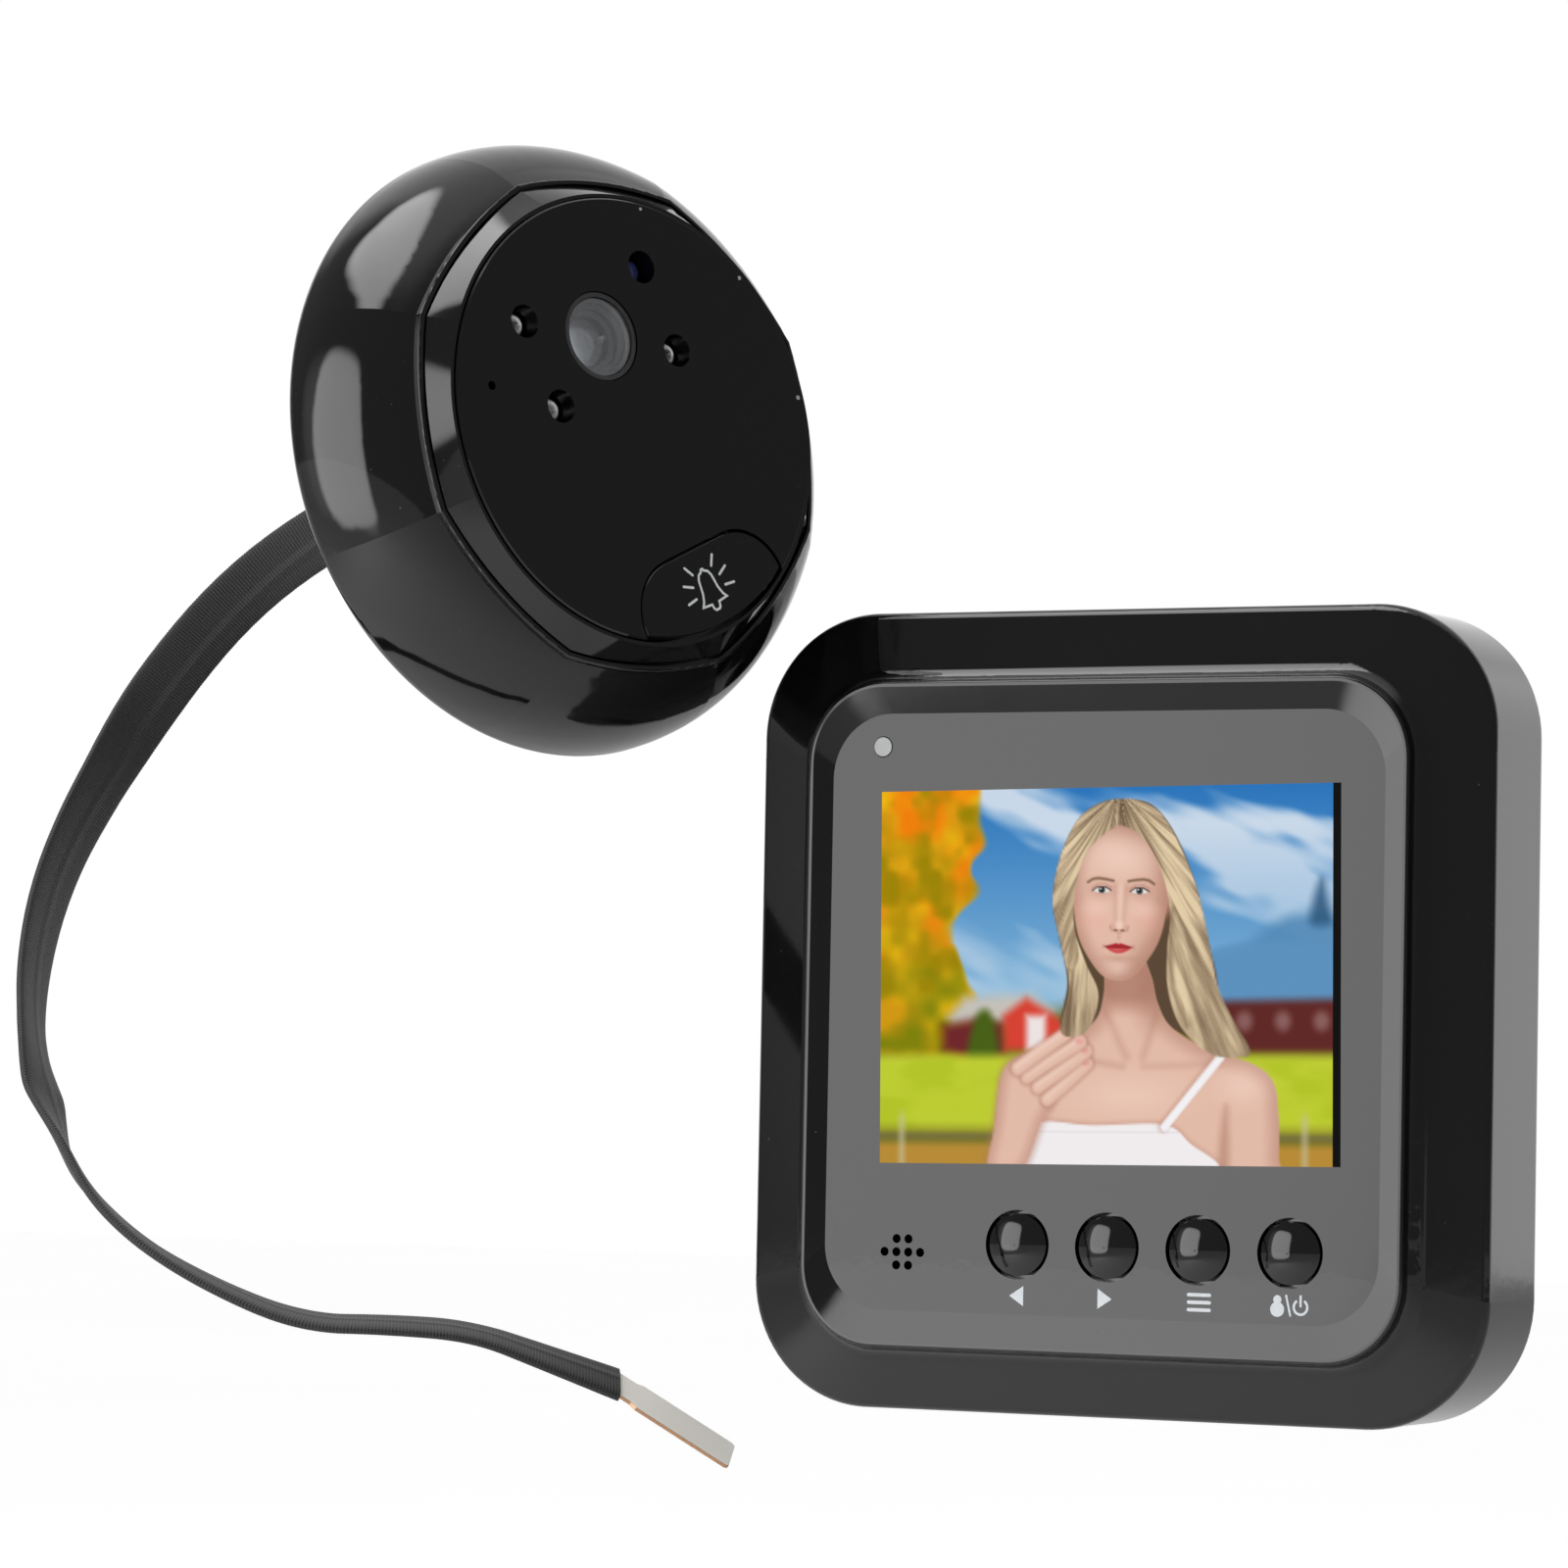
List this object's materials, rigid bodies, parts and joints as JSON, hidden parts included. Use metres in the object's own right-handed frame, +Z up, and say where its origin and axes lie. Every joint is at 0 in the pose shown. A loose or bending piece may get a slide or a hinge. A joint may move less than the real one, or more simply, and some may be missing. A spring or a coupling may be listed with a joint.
{
  "type": "peephole door camera",
  "caption": "Door viewer: a round outdoor camera unit with a bell key, joined by a flat cable to a square battery monitor with a colour screen and four keys.",
  "frame": {"origin": "middle of the monitor's door face, where it meets the door bracket", "axes": "+X to the right of someone looking at the screen, +Y into the door, +Z up"},
  "size_m": [0.1441, 0.0728, 0.131],
  "materials": {
    "casing": "glossy moulded black",
    "panel": "smoked glossy acrylic",
    "keys": "glossy black",
    "shell": "polished black",
    "inner_plastic": "matt black",
    "board": "green laminate",
    "display": "display glass",
    "lens": "coated glass",
    "lamps": "clear moulded bulb",
    "steel": "zinc plated",
    "brass": "turned",
    "cells": "plain wrapped can",
    "foam": "closed-cell foam",
    "sleeve": "dark woven sleeve",
    "tab": "pale stiffened film"
  },
  "bodies": {
    "root": {"front_bezel": "casing", "rear_housing": "casing", "base_plate": "inner_plastic", "screen_panel": "panel", "face_disc": "panel", "camera_shell": "shell", "camera_bezel": "shell", "lcd_module": "inner_plastic", "display_screen": "display", "main_board": "board", "tact_switches": "inner_plastic", "speaker": "inner_plastic", "status_light": "lamps", "cable_socket": "inner_plastic", "batteries": "cells", "battery_contacts": "steel", "housing_screws": "steel", "bell_switch": "inner_plastic", "camera_module": "inner_plastic", "lens_barrel": "inner_plastic", "lens_glass": "lens", "ir_leds": "lamps", "light_sensor": "lamps", "microphone": "inner_plastic", "camera_board": "board", "camera_cable_socket": "inner_plastic", "mount_posts": "brass", "base_screws": "steel", "foam_gasket": "foam", "ribbon_cable": "sleeve", "ribbon_tab": "tab"},
    "left_key": {"button_left": "keys"},
    "right_key": {"button_right": "keys"},
    "menu_key": {"button_menu": "keys"},
    "power_key": {"button_power": "keys"},
    "bell_key": {"bell_button": "panel"},
    "cell_cover": {"battery_door": "casing"}
  },
  "joints": [
    {"name": "left_key_press", "type": "slide", "parent": "root", "child": "left_key", "axis": [0, 1, 0], "range_m": [0, 0.0005], "stiffness_N_per_m": 400, "springref_m": -0.002},
    {"name": "right_key_press", "type": "slide", "parent": "root", "child": "right_key", "axis": [0, 1, 0], "range_m": [0, 0.0005], "stiffness_N_per_m": 400, "springref_m": -0.002},
    {"name": "menu_key_press", "type": "slide", "parent": "root", "child": "menu_key", "axis": [0, 1, 0], "range_m": [0, 0.0005], "stiffness_N_per_m": 400, "springref_m": -0.002},
    {"name": "power_key_press", "type": "slide", "parent": "root", "child": "power_key", "axis": [0, 1, 0], "range_m": [0, 0.0005], "stiffness_N_per_m": 400, "springref_m": -0.002},
    {"name": "bell_key_press", "type": "slide", "parent": "root", "child": "bell_key", "axis": [-0.9163, 0.3687, -0.1565], "range_m": [0, 0.0005], "stiffness_N_per_m": 500, "springref_m": -0.002},
    {"name": "cell_cover_slide", "type": "slide", "parent": "root", "child": "cell_cover", "axis": [0, 0, -1], "range_m": [0, 0.04]}
  ]
}
